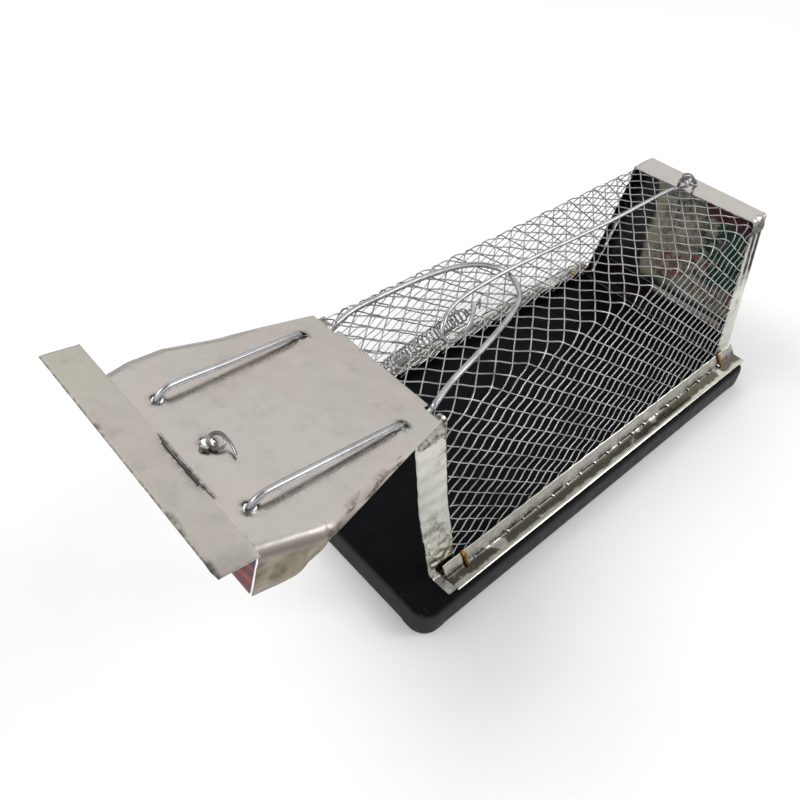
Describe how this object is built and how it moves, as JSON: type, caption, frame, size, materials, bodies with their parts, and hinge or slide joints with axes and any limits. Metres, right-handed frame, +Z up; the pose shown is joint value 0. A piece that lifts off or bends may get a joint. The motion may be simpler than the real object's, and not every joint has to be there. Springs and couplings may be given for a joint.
{
  "type": "live catch trap",
  "caption": "Wire-mesh live catch trap on a black moulded base, with a tin door that swings down from an open rest, a wire bail over the roof, a closing spring and a hooked trigger rod.",
  "frame": {"origin": "middle of the footprint of the whole object with its door open, on the floor", "axes": "+Z up; +Y along the cage towards its closed rear end, so the door is at -Y; +X to the right when looking along +Y"},
  "size_m": [0.1312, 0.3474, 0.1236],
  "materials": {
    "black_plastic": "satin moulded black plastic",
    "door_tin": "dull tinplate with smudges and scuffed edges",
    "post_tin": "bright wrinkled tinplate",
    "rail_tin": "bright tinplate crimped over the mesh",
    "printed_tin": "reused printed tinplate, blotched",
    "mesh_wire": "galvanised wire",
    "bail_steel": "drawn galvanised wire",
    "spring_steel": "dull oiled spring steel",
    "tie_wire": "rusty brown tie wire"
  },
  "bodies": {
    "cage": {"base_tray": "black_plastic", "side_rail_near": "rail_tin", "side_rail_far": "rail_tin", "rail_ties": "tie_wire", "front_post_near": "post_tin", "front_post_far": "post_tin", "front_header": "door_tin", "rear_post_near": "post_tin", "rear_post_far": "post_tin", "rear_header": "door_tin", "rear_wall": "printed_tin", "rear_foot_strip": "printed_tin", "mesh_roof": "mesh_wire", "mesh_side_near": "mesh_wire", "mesh_side_far": "mesh_wire", "hinge_rod": "bail_steel", "door_spring": "spring_steel", "spring_roof_hook": "spring_steel", "trigger_staple": "spring_steel"},
    "door": {"door_hinge_strap": "door_tin", "door_plate": "door_tin", "door_lip": "door_tin", "bail_wire": "bail_steel", "spring_door_hook": "spring_steel"},
    "trigger": {"trigger_rod": "bail_steel"}
  },
  "joints": [
    {"name": "door_swing", "type": "hinge", "parent": "cage", "child": "door", "pos_m": [0, -0.07927, 0.0991], "axis": [1, 0, 0], "range_deg": [0, 93], "deforming": ["door_spring"]},
    {"name": "trigger_lift", "type": "hinge", "parent": "cage", "child": "trigger", "pos_m": [-0.0036, 0.15713, 0.1051], "axis": [-1, 0, 0], "range_deg": [0, 75]}
  ],
  "couplings": [
    {"joint": "trigger_lift", "follows": "door_swing", "ratio": 0.8}
  ]
}
